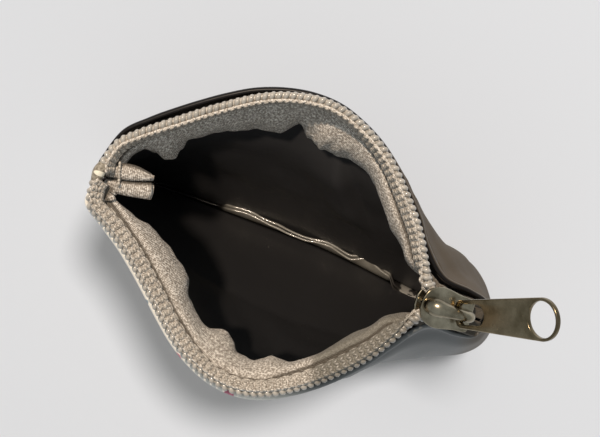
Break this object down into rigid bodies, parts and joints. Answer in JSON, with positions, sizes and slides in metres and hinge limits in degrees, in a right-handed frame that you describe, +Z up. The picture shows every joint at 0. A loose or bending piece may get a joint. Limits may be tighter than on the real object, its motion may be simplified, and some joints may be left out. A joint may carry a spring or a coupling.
{
  "type": "coin pouch",
  "caption": "Small flat zip pouch standing open on its flattened bottom, with a hinged metal zip pull.",
  "frame": {"origin": "on the flat resting face of the bottom, beside the bottom seam, midway along it", "axes": "+Z up through the open mouth, +X along the zip towards the slider, -Y towards the printed front panel"},
  "size_m": [0.1088, 0.0651, 0.1061],
  "materials": {
    "printed_cloth": "laminated printed cloth, off-white ground",
    "dark_cloth": "laminated cloth, black band over grey-brown, black glossy inside",
    "seam_edge": "glossy coated seam edges",
    "zip_tape": "taupe woven polyester tape",
    "zip_coil": "taupe nylon coil",
    "slider_metal": "dark antique gunmetal plating"
  },
  "bodies": {
    "pouch": {"front_panel": "printed_cloth", "back_panel": "dark_cloth", "seam_allowance": "seam_edge", "front_tape": "zip_tape", "back_tape": "zip_tape", "front_coil": "zip_coil", "back_coil": "zip_coil", "closed_chain": "zip_coil", "corner_fold": "printed_cloth", "front_tape_end": "zip_tape", "back_tape_end": "zip_tape", "slider_body": "slider_metal", "slider_crown": "slider_metal"},
    "pull": {"pull_tab": "slider_metal"}
  },
  "joints": [
    {"name": "pull_hinge", "type": "hinge", "parent": "pouch", "child": "pull", "pos_m": [0.0406, -0.00003, 0.08488], "axis": [0.3907, -0.9205, 0], "range_deg": [-72, 68]}
  ]
}
